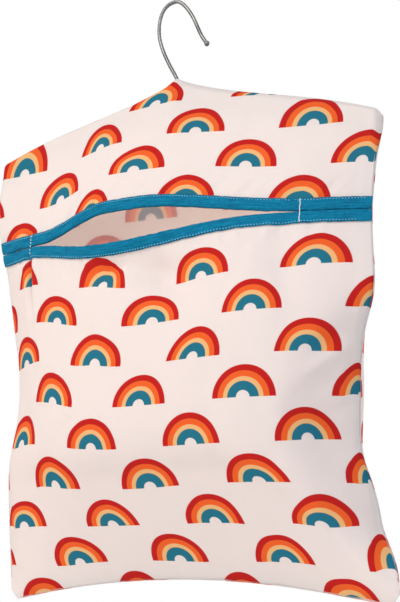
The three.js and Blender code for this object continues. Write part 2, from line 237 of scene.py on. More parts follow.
def varnished_beech():
    made, shade, feed = new_finish("varnished_beech", Coat_Weight=0.25, Coat_Roughness=0.2)
    place = shade.add("ShaderNodeTexCoord", output=3)
    bend = shade.noise(place.stretched(0.06, 1, 1), 60.0, 3.0)
    rings = (shade.math("SINE", (place.part(2) + place.part(1) * 0.6) * 900.0 + bend * 14.0) + 1) * 0.5
    fleck = shade.noise(place.stretched(0.12, 1, 1), 1400.0, 1.0)
    wood = shade.mix(rings * 0.6, BEECH, BEECH_RING)
    wood = shade.mix(shade.math("GREATER_THAN", fleck, 0.64) * 0.35, wood, BEECH_FLECK)
    height = shade.bump(0.15, 0.0002, fleck + rings * 0.3)
    feed(Base_Color=wood, Roughness=0.42 + rings * 0.12, Normal=height)
    return made


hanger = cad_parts["hanger_bar"]
hanger.data.materials.clear()
hanger.data.materials.append(varnished_beech())


# Bag panels: a yoke, a pocket and a back cut from one printed plain-woven cotton and sewn inside out.
# The filled bag is found by simulation: the flat cut cloth hangs from the hanger and is pressed out.
BAG_HALF, BAG_DEEP = 0.153, 0.390  # half the width, and from the shoulder peak to the bottom corners
CUT_HALF, CUT_DEEP = 0.158, 0.396  # the flat cloth, with the ease that the filling takes up
FRONT_BULGE, BACK_BULGE = 0.046, 0.030
SIDE_DRAW = 0.0075  # how far the filling draws the sides in
LEFT_WAIST, RIGHT_WAIST = 0.5, 0.62  # how far down the sides that is
FOOT = 0.010  # how far the left bottom corner stands out
LEAN, SWING, TURN = -0.008, 0.014, math.radians(-8)  # of the filled bag under its hanger
BOTTOM_LIFT = 0.017
TOP_CORNER, LOW_CORNER = 0.004, 0.009
HANGER_ROOM = 0.007
HOOK_GAP = 0.0034  # the panels stand apart for the hook at the peak
CLOTH = 0.0005
MOUTH_DEEP = 0.121
LEFT_TACK, RIGHT_TACK = -0.773, 0.707  # places across the bag, with the side seams at -1 and 1
MOUTH_RISE, MOUTH_SAG, MOUTH_LIP = 0.015, 0.008, 0.003
YOKE_ARCH, POCKET_SAG = (0.07, 0.33, 0.42, 1.0), (0.0, 0.3, 0.36, 0.85)  # from the left tack to the right
POCKET_TRIM = 0.0025
COLUMNS, YOKE_ROWS, POCKET_ROWS = 64, 20, 56
FINER = 3
SEAM_HOLD, EDGE_HOLD = 0.85, 0.5  # how firmly the seams, and the mouth's and the bottom's edges, are held
SETTLE_FRAMES = 40


def smooth_step(value, low, high):
    t = np.clip((value - low) / (high - low), 0, 1)
    return t * t * (3 - 2 * t)


def shoulder_drop(u):
    t = np.abs(u)
    return 0.068 * t - 0.064 * t**2 + 0.044 * t**3


def corner_cut(u, radius):
    into = np.clip(np.abs(u) * BAG_HALF - BAG_HALF + radius, 0, radius)
    return radius - np.sqrt(radius**2 - into**2)


def quarter_round(distance, radius):
    return np.sqrt(1 - (1 - np.clip(distance / radius, 0, 1)) ** 2)


def mouth_opening(u, hump):
    """How far an edge of the mouth stands off the line between the tacks, from 0 up to 1."""
    p = (u - LEFT_TACK) / (RIGHT_TACK - LEFT_TACK)
    return smooth_step(p, *hump[:2]) * (1 - smooth_step(p, *hump[2:]))


def top_deep(u):
    return shoulder_drop(u) + corner_cut(u, TOP_CORNER)


def low_deep(u):
    return BAG_DEEP - BOTTOM_LIFT * (1 - u**2) - corner_cut(u, LOW_CORNER)


def filled_bag(side, u, deep):
    """Points on the filled bag: side -1 is the front, u runs from seam to seam, deep is below the peak."""
    below = deep - top_deep(u)
    fall = np.clip(below / (low_deep(u) - top_deep(u)), 0, 1)
    edge = quarter_round((1 - np.abs(u)) * BAG_HALF, HANGER_ROOM)
    over_wood = HANGER_ROOM * quarter_round(below, HANGER_ROOM) * edge * np.sqrt(1 - fall)
    upper, lower = 1.1, 0.75
    peak = upper / (upper + lower)
    fullness = (fall / peak) ** upper * ((1 - fall) / (1 - peak)) ** lower
    bulge = (FRONT_BULGE if side < 0 else BACK_BULGE) * fullness * (1 - np.abs(u) ** 3)
    x = u * BAG_HALF
    hook_gap = np.where(np.abs(x) < 0.010, HOOK_GAP * np.exp(-((x / 0.007) ** 2) - below / 0.004), 0)
    lip = 0
    if side < 0:
        sag = mouth_opening(u, POCKET_SAG)
        under = deep - MOUTH_DEEP - MOUTH_SAG * sag
        lip = np.where(under > -1e-9, MOUTH_LIP * sag * np.exp(-np.abs(under) / 0.024), 0)
    forward = side * (over_wood + bulge + hook_gap + lip)
    start = shoulder_drop(1)
    share = np.clip((deep - start) / (BAG_DEEP - start), 0, 1)
    waist = LEFT_WAIST + (RIGHT_WAIST - LEFT_WAIST) * (u + 1) / 2
    drawn = np.sin(np.pi * share ** (np.log(0.5) / np.log(waist))) ** 3
    x = u * (BAG_HALF - SIDE_DRAW * drawn) - FOOT * ((1 - u) / 2) ** 2 * smooth_step(share, 0.54, 0.72)
    turn = TURN * smooth_step(share, 0.08, 0.5)
    lean = LEAN * np.sin(0.65 * np.pi * share)
    swing = SWING * smooth_step(share, 0.5, 1)
    across = x * np.cos(turn) - forward * np.sin(turn) + lean
    back = x * np.sin(turn) + forward * np.cos(turn) + swing
    return np.stack([across, back, SHOULDER_PEAK - deep], -1)


def between(high, low, rows):
    """Rows of depths from one edge of a panel to the other, for each of its columns."""
    t = np.linspace(0, 1, rows + 1)[:, None]
    return high * (1 - t) + low * t


def cut_panels(columns, yoke_rows, pocket_rows):
    """Each panel's place on the filled bag, and the same points on the flat cloth."""
    u = np.linspace(-1, 1, columns + 1)
    mouth = np.full_like(u, MOUTH_DEEP)
    arch, sag = MOUTH_RISE * mouth_opening(u, YOKE_ARCH), MOUTH_SAG * mouth_opening(u, POCKET_SAG)
    flat_low = CUT_DEEP - corner_cut(u, LOW_CORNER)
    filled, flat = {}, {}
    for name, side, parts in (
        ("yoke", -1, [(top_deep(u), mouth - arch, mouth, yoke_rows)]),
        ("pocket", -1, [(mouth + sag, low_deep(u), flat_low, pocket_rows)]),
        ("back", 1, [(top_deep(u), mouth, mouth, yoke_rows), (mouth, low_deep(u), flat_low, pocket_rows)]),
    ):
        deep, cut = [], []
        for n, (high, low, cut_low, rows) in enumerate(parts):
            skip = 1 if n else 0
            cut_high = mouth if n else high
            if name == "pocket":
                cut_high = mouth + POCKET_TRIM
            deep.append(between(high, low, rows)[skip:])
            cut.append(between(cut_high, cut_low, rows)[skip:])
        deep, cut = np.concatenate(deep), np.concatenate(cut)
        filled[name] = filled_bag(side, np.broadcast_to(u, deep.shape), deep)
        flat[name] = np.stack([np.broadcast_to(u * CUT_HALF, cut.shape), -cut], -1)
    return filled, flat


def grid_mesh(bm, points):
    """Adds a grid of faces over rows and columns of points, facing the way the columns and rows turn."""
    rows, columns = points.shape[:2]
    made = bmesh.ops.create_grid(bm, x_segments=columns - 1, y_segments=rows - 1, size=1)["verts"]
    for vert, place in zip(made, points[::-1].reshape(-1, 3)):
        vert.co = place
    return np.array(made, dtype=object).reshape(rows, columns)[::-1]


def how_firm(name, points):
    """How firmly each point of a panel is held by the hanger, the seams and its own bound or sewn edges."""
    below = points[0, :, 2] - points[..., 2]
    hold = np.zeros(below.shape) if name == "pocket" else 1 - smooth_step(below, 0.010, 0.034)
    if name == "yoke":
        hold[-1] = np.maximum(hold[-1], EDGE_HOLD)
    if name == "pocket":
        hold[0] = EDGE_HOLD
    hold[:, [0, -1]] = np.maximum(hold[:, [0, -1]], SEAM_HOLD)
    if name != "yoke":
        hold[-1] = EDGE_HOLD
    return hold


def hang_and_fill(filled, flat):
    """Sews the flat panels together, hangs them and presses them out. Returns where their points end."""
    bm = bmesh.new()
    grids = {name: grid_mesh(bm, points) for name, points in filled.items()}
    doubles = bmesh.ops.find_doubles(bm, verts=bm.verts, dist=1e-6)["targetmap"]
    kept = {name: [[doubles.get(v, v) for v in row] for row in grid] for name, grid in grids.items()}
    flat_of, hold_of = {}, {}
    for name, rows in kept.items():
        hold = how_firm(name, filled[name])
        for i, row in enumerate(rows):
            for j, vert in enumerate(row):
                flat_of.setdefault(vert, flat[name][i, j])
                hold_of[vert] = max(hold_of.get(vert, 0), hold[i, j])
    bmesh.ops.weld_verts(bm, targetmap=doubles)
    bmesh.ops.recalc_face_normals(bm, faces=bm.faces)
    bm.verts.index_update()
    index = {name: np.array([[v.index for v in row] for row in rows]) for name, rows in kept.items()}
    cut = np.zeros((len(bm.verts), 3))
    held = np.zeros(len(bm.verts))
    for vert, (x, z) in flat_of.items():
        cut[vert.index] = x, 0, z
        held[vert.index] = hold_of[vert]
    mesh = bpy.data.meshes.new("sewn_bag")
    bm.to_mesh(mesh)
    bm.free()
    sewn = bpy.data.objects.new("sewn_bag", mesh)
    scene.collection.objects.link(sewn)
    sewn.shape_key_add(name="filled")
    sewn.shape_key_add(name="flat").data.foreach_set("co", cut.ravel())
    pins = sewn.vertex_groups.new(name="held")
    for n, weight in enumerate(held):
        if weight > 0:
            pins.add([n], float(weight), "REPLACE")
    cloth = sewn.modifiers.new("cotton", "CLOTH")
    settings = cloth.settings
    settings.quality = 6
    settings.mass = 0.15
    settings.tension_stiffness = settings.compression_stiffness = 40
    settings.shear_stiffness = 15
    settings.bending_stiffness = 0.5
    settings.tension_damping = settings.compression_damping = settings.shear_damping = 10
    settings.air_damping = 2
    settings.rest_shape_key = mesh.shape_keys.key_blocks["flat"]
    settings.vertex_group_mass = "held"
    settings.pin_stiffness = 1
    settings.use_pressure = True
    settings.uniform_pressure_force = 4
    settings.effector_weights.gravity = 0.1
    cloth.collision_settings.use_collision = False
    cloth.collision_settings.use_self_collision = False
    cloth.point_cache.frame_end = 60
    for number in range(1, SETTLE_FRAMES + 1):
        scene.frame_set(number)
    settled = sewn.evaluated_get(bpy.context.evaluated_depsgraph_get()).data
    places = np.zeros(len(settled.vertices) * 3)
    settled.vertices.foreach_get("co", places)
    bpy.data.objects.remove(sewn)
    bpy.data.meshes.remove(mesh)
    scene.frame_set(1)
    places = places.reshape(-1, 3)
    return {name: places[numbers] for name, numbers in index.items()}


def curve_through(points, times):
    """Puts points between the rows on a smooth curve through them."""
    ahead = np.concatenate([2 * points[:1] - points[1:2], points, 2 * points[-1:] - points[-2:-1]])
    where = np.linspace(0, len(points) - 1, (len(points) - 1) * times + 1)
    i = np.minimum(where.astype(int), len(points) - 2)
    f = (where - i).reshape(-1, *[1] * (points.ndim - 1))
    a, b, c, d = (ahead[i + k] for k in range(4))
    return b + 0.5 * f * (c - a + f * (2 * a - 5 * b + 4 * c - d + f * (3 * (b - c) + d - a)))


def finer(points, times):
    return curve_through(curve_through(points, times).swapaxes(0, 1), times).swapaxes(0, 1)


def outward(points, side):
    across, down = np.gradient(points, axis=1), np.gradient(points, axis=0)
    normal = np.cross(across, down) * side
    return normal / np.maximum(np.linalg.norm(normal, axis=-1, keepdims=True), 1e-12)


filled, flat = cut_panels(COLUMNS, YOKE_ROWS, POCKET_ROWS)
filled = hang_and_fill(filled, flat)
panels = {name: finer(points, FINER) for name, points in filled.items()}
_, cuts = cut_panels(COLUMNS * FINER, YOKE_ROWS * FINER, POCKET_ROWS * FINER)


def run_from_edge(points):
    """How far down its column each point of a panel is from the panel's first row."""
    steps = np.linalg.norm(np.diff(points, axis=0), axis=2)
    return np.concatenate([np.zeros((1, points.shape[1])), np.cumsum(steps, axis=0)])


def from_edge(points, distances):
    """Points at distances down each column of a panel, from its first row."""
    run = run_from_edge(points)
    placed = np.zeros((len(distances), points.shape[1], 3))
    for column in range(points.shape[1]):
        for axis in range(3):
            placed[:, column, axis] = np.interp(distances, run[:, column], points[:, column, axis])
    return placed


def bell(value, width):
    return np.exp(-((value / width) ** 2))


def soft_ramp(value, radius):
    """Nothing below zero and the value itself above, with the bend between them rounded."""
    return (value + np.sqrt(value**2 + radius**2)) / 2


def pucker(points, side, x, lean, long):
    """Small folds that the stitching draws up along the mouth, which is the panel's first row."""
    run = run_from_edge(points)
    s = x - lean * run
    fine = 0.5 * np.sin(s * 930) + 0.8 * np.sin(s * 523 + 1.3) + np.sin(s * 311 + 0.4)
    lift = 0.0003 * fine * bell(run - 0.010 - long / 2, long) * (1 - (x / CUT_HALF) ** 8)
    return points + lift[..., None] * outward(points, side)


def rumple(points, cut, side, seed):
    """Faint broad creases, left in the cloth by folding and by what lies behind it."""
    lift = np.zeros(points.shape[:2])
    for at, (x, z) in zip(np.ndindex(lift.shape), cut.reshape(-1, 2)):
        broad = noise.noise((x * 24, z * 20, seed))
        small = noise.noise((x * 60, z * 48, seed + 9))
        lift[at] = 0.0016 * broad + 0.0005 * small
    below = run_from_edge(points)
    lift *= smooth_step(below, 0.004, 0.030) * smooth_step(below[-1] - below, 0.004, 0.030)
    lift *= 1 - np.abs(cut[..., 0] / CUT_HALF) ** 6
    return points + lift[..., None] * outward(points, side)


for name, side, seed in (("yoke", -1, 2.3), ("pocket", -1, 5.1), ("back", 1, 8.7)):
    panels[name] = rumple(panels[name], cuts[name], side, seed)
panels["yoke"] = pucker(panels["yoke"][::-1], 1, cuts["yoke"][::-1, :, 0], 0.75, 0.011)[::-1]
panels["pocket"] = pucker(panels["pocket"], -1, cuts["pocket"][..., 0], 0.2, 0.007)

# The tuck takes up cloth under the left tack and runs out below it, and gathers lie beside it.
TUCK_AT, TUCK_DEEP, TUCK_RIM, TUCK_TAKES = -0.119, 0.006, 0.0018, 0.018
TUCK_CLOSES = 0.45  # how much nearer the tuck draws the cloth beside it
GATHER = 0.0004
run, x, z = run_from_edge(panels["pocket"]), cuts["pocket"][..., 0], cuts["pocket"][..., 1]
off_tuck = x - TUCK_AT
caught = 1 - smooth_step(run, 0.020, 0.070)
gathered = smooth_step(x, -0.110, -0.095) * (1 - smooth_step(x, -0.070, -0.045))
waves = np.sin(x * 560 + 0.5) + 0.8 * np.sin(x * 367 + 2)
rise = caught * (TUCK_RIM * bell(np.abs(off_tuck) - 0.008, 0.004) - TUCK_DEEP * bell(off_tuck, 0.0024))
rise += GATHER * waves * gathered * bell(run - 0.014, 0.014)
rise *= smooth_step(run, 0.004, 0.012)

# To the right of the filling the cloth falls away from a bent ridge into a hollow. The filling's lower
# edge shows as a swelling, and creases lie where the cloth is drawn.
RIDGE_X, RIDGE_Z = 0.102, -0.270  # the ridge's bend, on the cut pocket
RIDGE_UP, RIDGE_DOWN, RIDGE_ROUND = 0.43, 0.28, 0.005
HOLLOW_SLOPE, HOLLOW_WIDE = 0.52, 0.045
LOWER_STEEPER = 0.35
SWELLING = 0.0015
BELLY_LOW, BELLY_BOW = -0.282, 9  # the filling's lower edge, and how it bends down on the right
CREASES = [  # middle on the cut pocket, direction in degrees, half length, half width and depth, in mm
    (-34, -146, 0, 15, 9, 6.5),
    (11, -159, -36, 29, 13, 9.0),
    (104, -172, -80, 36, 11, 2.5),
    (136, -231, 42, 22, 4, -1.4),
    (131, -221, 42, 20, 5, 1.0),
    (142, -243, 40, 18, 5, 1.0),
    (148, -264, 15, 12, 4, 0.8),
    (144, -305, -72, 40, 14, 2.5),
    (146, -334, -66, 34, 6, 0.8),
    (30, -384, 84, 14, 6, 1.4),
    (73, -385, 98, 12, 5, 1.2),
    (128, -378, 120, 22, 6, 1.6),
]
ridge_leans = np.where(z > RIDGE_Z, RIDGE_UP, RIDGE_DOWN) * (z - RIDGE_Z)
past_ridge = x - RIDGE_X - np.sqrt(ridge_leans**2 + RIDGE_ROUND**2)
hollow = soft_ramp(past_ridge, 0.006) - soft_ramp(past_ridge - HOLLOW_WIDE, 0.016)
hollow *= smooth_step(-z, 0.165, 0.215) * (1 - smooth_step(-z, 0.340, 0.380))
under_belly = BELLY_LOW - BELLY_BOW * np.maximum(x - 0.05, 0) ** 2 - z
rise += SWELLING * bell(under_belly, 0.035) * (1 - smooth_step(np.abs(x), 0.080, 0.130))
rise -= HOLLOW_SLOPE * hollow * (1 + LOWER_STEEPER * smooth_step(-z, 0.255, 0.300))
for middle_x, middle_z, angle, long, wide, deep in CREASES:
    way = math.radians(angle)
    to_x, to_z = x * 1000 - middle_x, z * 1000 - middle_z
    along = to_x * math.cos(way) + to_z * math.sin(way)
    across = to_z * math.cos(way) - to_x * math.sin(way)
    rise -= deep / 1000 * bell(along, long) * bell(across, wide)
moved = rise[..., None] * outward(panels["pocket"], -1)
pocket = panels["pocket"] = panels["pocket"] + moved
pocket[..., 0] -= TUCK_CLOSES * off_tuck * caught * bell(off_tuck, 0.0075)

# Under the filling the cloth is drawn straight from the belly to the bottom seam. The mouth's lower lip
# pouts, and the back follows the front at the right seam.
DRAWN_FLAT = 0.8
POUT_FORWARD, POUT_DOWN = 0.008, 0.003
for column in np.flatnonzero(np.abs(x[0]) < 0.150):
    first = int(np.argmax(under_belly[:, column] > 0))
    below = run[first:, column] - run[first, column]
    top, hem = pocket[first, column], pocket[-1, column]
    chord = top + (below / below[-1])[:, None] * (hem - top)
    drawn = DRAWN_FLAT * smooth_step(below, 0, 0.032) * (1 - smooth_step(np.abs(x[0, column]), 0.110, 0.150))
    pocket[first:, column] += drawn[:, None] * (chord - pocket[first:, column])
pouting = bell(x + 0.020, 0.050) * np.exp(-run / 0.016)
pocket[..., 1] -= POUT_FORWARD * pouting
pocket[..., 2] -= POUT_DOWN * pouting
follows = smooth_step(cuts["back"][0, :, 0], 0.115, CUT_HALF)
panels["back"][-len(moved):] += moved[:, -1:] * follows[:, None]

# Along the lower right seam the front is let out, and the back puffs out behind it.
SEAM_OUT, BACK_PUFF = 0.003, 2.2
for name in ("pocket", "back"):
    u, share = cuts[name][..., 0] / CUT_HALF, -cuts[name][..., 1] / CUT_DEEP
    let_out = SEAM_OUT * bell(share - 0.63, 0.17)
    edge = smooth_step(u, 0.80 if name == "pocket" else 0.88, 1)
    puff = bell(u - 0.94, 0.040) if name == "back" else 0
    panels[name][..., 0] += let_out * (BACK_PUFF * puff + edge)
    panels[name][..., 1] += let_out * puff

# The side seams lie along the front of the bag's edges, so the front is flat out to them. Lower down the
# filling draws it straight from the belly to the seams.
EDGE_COLUMNS = 8
EDGE_STRAIGHT = 0.85
BACK_BEHIND = 0.0006
for seam, step in ((0, 1), (-1, -1)):
    for name, rows in (("yoke", slice(0, YOKE_ROWS * FINER + 1)), ("pocket", slice(YOKE_ROWS * FINER, None))):
        panel, depth = panels[name], -cuts[name][:, seam, 1]
        flat_here = smooth_step(depth, 0.052, 0.090) * (1 - smooth_step(depth, 0.170, 0.230))
        straight = EDGE_STRAIGHT * smooth_step(depth, 0.180, 0.240) * (1 - smooth_step(depth, 0.360, 0.384))
        near, far = panel[:, seam + step * EDGE_COLUMNS], panel[:, seam + step * 2 * EDGE_COLUMNS]
        slope = (near - far)[:, 1] / (near - far)[:, 0]
        for k in range(EDGE_COLUMNS):
            column = panel[:, seam + step * k]
            level = near[:, 1] + slope * (column[:, 0] - near[:, 0])
            column[:, 1] += (level - column[:, 1]) * flat_here * smooth_step(EDGE_COLUMNS - k, 0, 3)
            chord = panel[:, seam] + (near - panel[:, seam]) * k / EDGE_COLUMNS
            column += (chord - column) * straight[:, None]
        panels["back"][rows, seam, 1] = panel[:, seam, 1] + BACK_BEHIND * flat_here

# The seams aren't sewn quite straight.
RIGHT_WAVES = [(118, 40, -3.5), (190, 30, 1.5), (322, 40, 10), (245, 60, 5)]  # depth, half height, out, in mm
LEFT_WAVES = [(140, 40, 3)]  # the same, inwards
TOP_OUT, BOTTOM_OUT = 0.003, 0.004  # of the right seam's ends


def seam_waves(depth, waves):
    return sum(out / 1000 * bell(depth * 1000 - at, high) for at, high, out in waves)


for name in panels:
    u, depth = cuts[name][..., 0] / CUT_HALF, -cuts[name][..., 1]
    right = TOP_OUT * (1 - smooth_step(depth, 0.056, 0.088)) + BOTTOM_OUT * smooth_step(depth, 0.345, 0.385)
    right += seam_waves(depth, RIGHT_WAVES)
    left = seam_waves(depth, LEFT_WAVES)
    panels[name][..., 0] += right * smooth_step(u, 0.7, 1) + left * smooth_step(-u, 0.7, 1)

# The print lies a little askew on the cut panels, and is drawn out of shape where the cloth was eased.
POCKET_SLIPS = [  # middle, half width and half height on the cut pocket, then slip right and up, in mm
    (15, -200, 55, 35, 12, 0),
    (-45, -150, 30, 20, 8.5, 0),
    (-90, -190, 20, 25, 3, 0),
    (120, -158, 30, 20, -2.5, 0),
    (-30, -330, 40, 30, -3, 0),
    (98, -215, 14, 20, 3, 0),
    (-30, -335, 60, 35, 0, -4.5),
    (-78, -138, 22, 12, -5, 0),
    (-78, -168, 22, 12, 3, 0),
    (-122, -225, 15, 20, 3.5, 0),
    (-135, -310, 20, 18, 0, -5),
    (108, -322, 25, 11, 0, 3),
    (78, -352, 15, 12, 0, -2.5),
]


def slip(name, right, up, share):
    """Moves the print on a cut panel, in millimetres, by a share of the move at each point."""
    cuts[name][..., 0] -= right / 1000 * share
    cuts[name][..., 1] -= up / 1000 * share


x, z = cuts["pocket"][..., 0].copy(), cuts["pocket"][..., 1].copy()
for middle_x, middle_z, wide, high, right, up in POCKET_SLIPS:
    slip("pocket", right, up, bell(x * 1000 - middle_x, wide) * bell(z * 1000 - middle_z, high))
left_of_tuck = 1 - smooth_step(off_tuck, -0.0016, 0.0016)
slip("pocket", TUCK_TAKES * 1000, 0, caught * left_of_tuck)
under_tape = smooth_step(-z, 0.133, 0.142)
slip("pocket", 0, -3, bell(x - 0.030, 0.080) * under_tape)
slip("pocket", 0, -1.5, bell(x - 0.050, 0.060) * under_tape)
slip("pocket", 0, 4.5, bell(x + 0.047, 0.020) * smooth_step(z, -0.250, -0.200))
slip("pocket", 0, 8, smooth_step(0.25 * (z + 0.25) - x, 0.060, 0.125))
left_middle = smooth_step(-z, 0.165, 0.200) * (1 - smooth_step(-z, 0.300, 0.330))
slip("pocket", 0, 3, bell(x + 0.080, 0.030) * left_middle)
right_middle = smooth_step(-z, 0.175, 0.245) * (1 - smooth_step(-z, 0.325, 0.345))
slip("pocket", -5.5, 0, smooth_step(x, 0.105, 0.146) * right_middle)
slip("pocket", -5.5, 0, smooth_step(x, 0.085, 0.125) * bell(z + 0.338, 0.030))
low_middle = smooth_step(z, -0.345, -0.325) * (1 - smooth_step(z, -0.322, -0.305))
slip("pocket", 5, 0, bell(x - 0.112, 0.030) * low_middle)
slip("pocket", -5, 3, smooth_step(x, 0.120, 0.150) * smooth_step(-z, 0.330, 0.360))
slip("pocket", 0, 3, smooth_step(x, 0.060, 0.100) * smooth_step(-z, 0.320, 0.360))
slip("pocket", 0, 3.5, smooth_step(x, 0.020, 0.060) * smooth_step(-z, 0.370, 0.390))
slip("pocket", -3, 0, smooth_step(-x, 0.060, 0.090) * smooth_step(-z, 0.280, 0.310))
slip("pocket", 4, 0, smooth_step(-x, 0.080, 0.110) * smooth_step(-z, 0.370, 0.390))
slip("pocket", 4, 0, smooth_step(-z, 0.345, 0.380))
x, z = cuts["yoke"][..., 0].copy(), cuts["yoke"][..., 1].copy()
slip("yoke", 17, 0, smooth_step(-x, 0.045, 0.100))
slip("yoke", 9, 0, smooth_step(z, -0.045, -0.010))
slip("yoke", 5, 0, bell(x - 0.110, 0.030) * bell(z + 0.050, 0.020))
slip("yoke", -5, 0, bell(x + 0.030, 0.025) * smooth_step(-z, 0.060, 0.080))
slip("yoke", 0, -6, smooth_step(-x, 0.045, 0.100) * smooth_step(-z, 0.035, 0.060))

MOTIF_ACROSS, MOTIF_DOWN, MOTIF_RADIUS = 0.085, 0.031, 0.023
RAMP_REACH = 1.25  # the colour ramp ends this many radii out
BAND_SOFT = 0.006
COTTON, SLUB, WRONG_SIDE = (0.91, 0.84, 0.79), (0.62, 0.55, 0.52), (0.90, 0.83, 0.80)
TEAL, SAND, ORANGE, RED = (0.012, 0.2, 0.29), (0.92, 0.57, 0.24), (0.92, 0.15, 0.02), (0.61, 0.009, 0.006)
BAND_EDGES = [0.21, 0.49, 0.63, 0.81, 1.0]
BAND_COLOURS = [COTTON, TEAL, SAND, ORANGE, RED, COTTON]
WEAVE_STEP = 0.0007
PRINT_PLACES = {"yoke": (0.021, -0.055), "pocket": (0.039, -0.163), "back": (-0.035, -0.100)}
WRONG_SIDE_FADED, BACK_GLOW = 0.8, 0.35


def let_light_through(made, shade, colour, share):
    """Thin cloth: part of the light that reaches it goes on through it."""
    nodes, links = made.node_tree.nodes, made.node_tree.links
    through = shade.add("ShaderNodeBsdfTranslucent", None, {"Color": colour})
    front = Shade(made.node_tree, nodes["Principled BSDF"].outputs[0])
    cloth = shade.add("ShaderNodeMixShader", None, {0: share, 1: front, 2: through})
    links.new(cloth.socket, nodes["Material Output"].inputs["Surface"])


def printed_cotton(name, across, down, faded=0.0, glow=0.0):
    """Plain cotton printed with arches of four colour bands, on a grid whose rows are stepped by half."""
    made, shade, feed = new_finish(name, Specular_IOR_Level=0.2)
    cut = shade.add("ShaderNodeUVMap", {"uv_map": "cut"})
    x, z = cut.part(0), cut.part(1)
    row = shade.math("FLOOR", (z - down) / MOTIF_DOWN)
    rise = z - down - row * MOTIF_DOWN
    step = (row % 2) * (MOTIF_ACROSS / 2)
    along = (x - across + step + MOTIF_ACROSS / 2) % MOTIF_ACROSS - MOTIF_ACROSS / 2
    radius = shade.math("SQRT", along * along + rise * rise) / (MOTIF_RADIUS * RAMP_REACH)
    stops = [(0, BAND_COLOURS[0])]
    for edge, inside, outside in zip(BAND_EDGES, BAND_COLOURS, BAND_COLOURS[1:]):
        stops += [(edge / RAMP_REACH - BAND_SOFT, inside), (edge / RAMP_REACH + BAND_SOFT, outside)]
    ink = shade.add("ShaderNodeValToRGB", {"stops": stops}, {0: radius})
    place = shade.add("ShaderNodeTexCoord", output=3)
    slub = shade.noise(cut.stretched(1, 6, 1), 260.0, 3.0)
    slub_up = shade.noise(cut.stretched(6, 1, 1), 260.0, 3.0)
    thread = slub * 0.5 + slub_up * 0.5
    colour = shade.mix(thread * 0.03, ink, SLUB)
    if faded:
        colour = shade.mix(faded, colour, WRONG_SIDE)
    turn = 2 * math.pi / WEAVE_STEP
    weave = shade.math("SINE", x * turn) + shade.math("SINE", z * turn)
    crumple = shade.noise(place, 45.0, 3.0)
    bump = shade.bump(0.25, 0.0012, crumple * 0.6 + weave * 0.02 + thread * 0.1)
    feed(Base_Color=colour, Roughness=0.82 + thread * 0.12, Normal=bump)
    let_light_through(made, shade, shade.mix(glow, colour, COTTON), 0.5 if faded else 0.4)
    return made


def lay_flat(bm, grid, cut):
    """Keeps each point's place on the flat cut as a UV map, which the print and the weave follow."""
    flat_of = dict(zip(grid.ravel(), cut.reshape(-1, 2)))
    layer = bm.loops.layers.uv.new("cut")
    for face in bm.faces:
        for loop in face.loops:
            loop[layer].uv = flat_of[loop.vert]


def thicken(piece, thickness, offset):
    wall = piece.modifiers.new("thickness", "SOLIDIFY")
    wall.thickness = thickness
    wall.offset = offset
    return wall


# The raw edges end under the folds of the tape.
RAW_EDGE = 0.0014
mouth_edges = {"yoke": panels["yoke"][::-1].copy(), "pocket": panels["pocket"].copy()}
panels["yoke"][-1] = from_edge(mouth_edges["yoke"], [RAW_EDGE])[0]
panels["pocket"][0] = from_edge(mouth_edges["pocket"], [RAW_EDGE])[0]
finishes = {}
for name, place in PRINT_PLACES.items():
    outside = printed_cotton(f"{name}_cotton", *place, glow=BACK_GLOW if name == "back" else 0.0)
    finishes[name] = [outside, printed_cotton(f"{name}_inside", *place, faded=WRONG_SIDE_FADED)]
for piece_name, name, node, long in (
    ("bag_back", "back", "back_panel", CUT_DEEP),
    ("bag_yoke", "yoke", "front_yoke", MOUTH_DEEP),
    ("bag_pocket", "pocket", "front_pocket", CUT_DEEP - MOUTH_DEEP),
):
    turned = -1 if name == "back" else 1
    bm = bmesh.new()
    grid = grid_mesh(bm, panels[name][:, ::turned])
    lay_flat(bm, grid, cuts[name][:, ::turned])
    piece = new_piece(piece_name, bm, finishes[name], "bag")
    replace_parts(piece, node)
    thicken(piece, CLOTH, -1).material_offset = 1


# Mouth binding: two lengths of woven teal tape, each folded over a raw edge of the mouth and sewn down.
# They meet edge to edge outside the tacks, and their ends are caught in the side seams.
TAPE_WIDE, TAPE = 0.0094, 0.0004
TAPE_SLIT = 0.0002  # half the slit between the two tapes
TAPE_IN = 0.0006  # from the mouth's edge to the tape's first row
TAPE_OFF = 0.0007  # from the cloth to the middle of a leaf
TAPE_ROWS, TAPE_FINER = 6, 4
TAPE_RIB = 0.0008
STITCH_STEP = 0.0022
LEAF_PUFF = [0.10, 0.22, 0.32, 0.30, 0.20, 0.0]  # of the outer leaf's rows from the mouth, in millimetres
STITCH_PUFF = [0, 0.02, 0.06, 0.14, 0.24, 0.22]  # between stitches
SLACK_PUFF = 0.05
EDGE_DRAWN, EDGE_SLACK = 0.00022, 0.00010
DEEP_TEAL, TAPE_TEAL, LIGHT_TEAL = (0.0010, 0.090, 0.170), (0.0012, 0.145, 0.265), (0.0050, 0.235, 0.380)


def woven_tape():
    made, shade, feed = new_finish("woven_tape", Specular_IOR_Level=0.12)
    cut = shade.add("ShaderNodeUVMap", {"uv_map": "cut"})
    place = shade.add("ShaderNodeTexCoord", output=3)
    # Fine light and dark specks in the tape's colour are painted highlights and shade of its small puckers;
    # the same noise also roughens and bumps it. The streaks along the tape are its weave.
    painted_pucker_light_and_bumps = shade.noise(place, 420.0, 3.0)
    broad = shade.noise(place, 90.0)
    ribs = shade.math("SINE", (cut.part(0) + cut.part(1)) * (2 * math.pi / TAPE_RIB))
    streak = shade.noise(cut.stretched(0.08, 1, 1), 900.0)
    colour = shade.mix(painted_pucker_light_and_bumps * 0.9 + streak * 1.9 - 0.9, DEEP_TEAL, LIGHT_TEAL)
    colour = shade.mix(broad * 0.5, colour, TAPE_TEAL)
    bump = shade.bump(0.6, 0.0008, painted_pucker_light_and_bumps * 0.8 + ribs * 0.12)
    feed(Base_Color=colour, Roughness=0.75 + painted_pucker_light_and_bumps * 0.2, Normal=bump)
    return made


